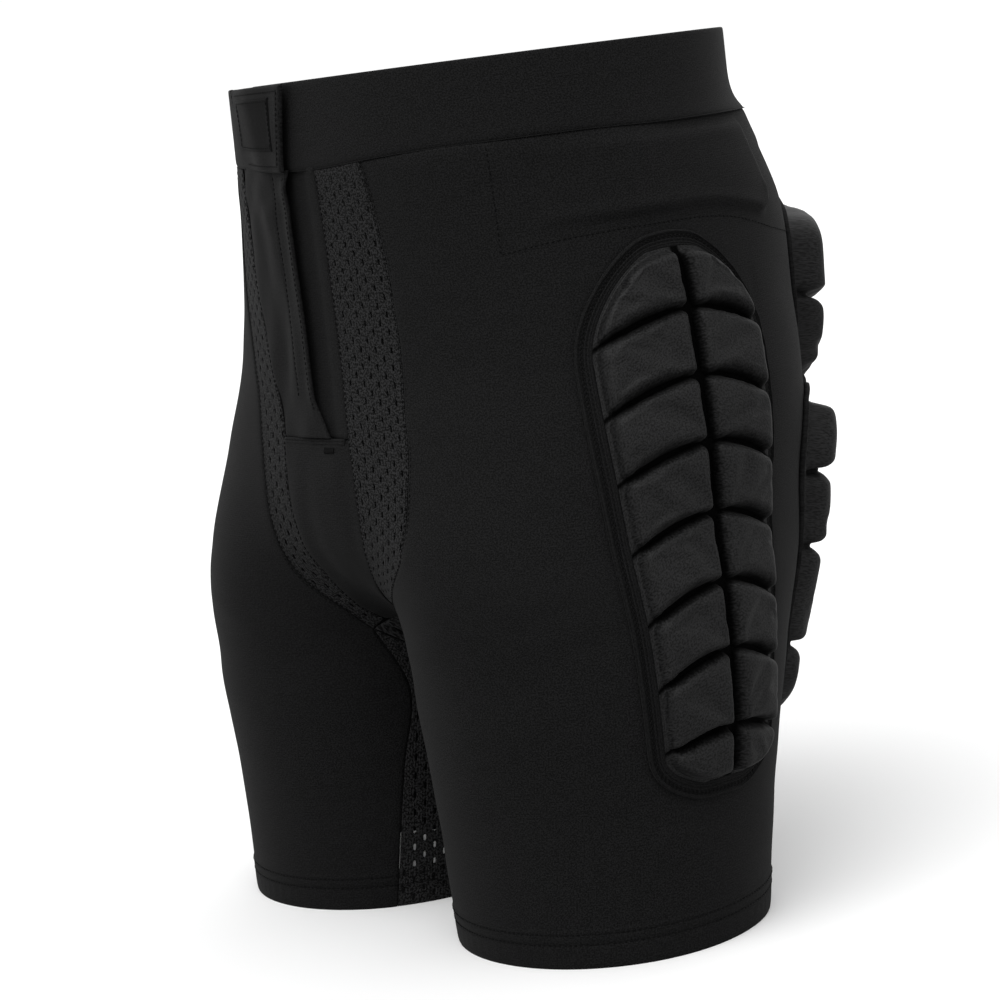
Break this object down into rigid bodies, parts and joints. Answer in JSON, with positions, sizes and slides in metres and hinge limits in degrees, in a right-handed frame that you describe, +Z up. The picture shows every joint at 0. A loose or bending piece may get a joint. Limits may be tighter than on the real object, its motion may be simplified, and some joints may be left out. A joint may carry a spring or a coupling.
{
  "type": "padded impact shorts",
  "caption": "Close-fitting sports shorts with a wrap-over fly and thick foam pads over the hips, seat and tailbone.",
  "frame": {"origin": "middle of the garment's bounding box, on the level of the leg hems", "axes": "+Z up from the hems to the waist, -Y towards the wearer's front, +X towards the wearer's left"},
  "size_m": [0.3784, 0.2842, 0.4311],
  "materials": {
    "binding": "edge tape",
    "elastic": "woven elastic",
    "foam": "closed-cell foam",
    "hook_and_loop": "hook and loop tape",
    "label": "woven ribbon",
    "lining_knit": "brushed knit",
    "mesh_knit": "open sports mesh",
    "pad_cover": "laminated stretch fabric",
    "shell_knit": "matt stretch knit",
    "thread": "polyester thread",
    "waistband_knit": "smooth stretch knit"
  },
  "bodies": {
    "shorts": {"crotch_gusset": "mesh_knit", "fly_bartack": "thread", "fly_front_right": "shell_knit", "fly_underlap": "shell_knit", "hem_stitching_left": "thread", "hem_stitching_right": "thread", "hem_turnup_left": "shell_knit", "hem_turnup_right": "shell_knit", "hip_pad_backing_left": "lining_knit", "hip_pad_backing_right": "lining_knit", "hip_pad_binding_left": "binding", "hip_pad_binding_right": "binding", "hip_pad_cover_left": "pad_cover", "hip_pad_cover_right": "pad_cover", "hip_pad_foam_left": "foam", "hip_pad_foam_right": "foam", "iliac_pad_foam_left": "foam", "iliac_pad_foam_right": "foam", "iliac_pocket_left": "lining_knit", "iliac_pocket_right": "lining_knit", "inner_thigh_mesh_left": "mesh_knit", "inner_thigh_mesh_right": "mesh_knit", "loop_tape": "hook_and_loop", "main_panel_left": "shell_knit", "main_panel_right": "shell_knit", "mesh_strip_left": "mesh_knit", "mesh_strip_right": "mesh_knit", "pouch_panel": "shell_knit", "pouch_welt": "binding", "seat_pad_backing_left": "lining_knit", "seat_pad_backing_right": "lining_knit", "seat_pad_binding_left": "binding", "seat_pad_binding_right": "binding", "seat_pad_cover_left": "pad_cover", "seat_pad_cover_right": "pad_cover", "seat_pad_foam_left": "foam", "seat_pad_foam_right": "foam", "tailbone_pad_backing": "lining_knit", "tailbone_pad_binding": "binding", "tailbone_pad_cover": "pad_cover", "tailbone_pad_foam": "foam", "waistband_elastic": "elastic", "waistband_lining": "lining_knit", "waistband_outer": "waistband_knit"},
    "fly": {"flap_facing": "shell_knit", "fly_flap": "shell_knit", "hook_tape": "hook_and_loop", "tab_elastic": "elastic", "tab_lining": "lining_knit", "tab_outer": "waistband_knit", "woven_label": "label"}
  },
  "joints": [
    {"name": "fly_fold", "type": "hinge", "parent": "shorts", "child": "fly", "pos_m": [-0.04942, -0.12199, 0.34373], "axis": [0.3149, -0.1491, -0.9373], "range_deg": [0, 120]}
  ]
}
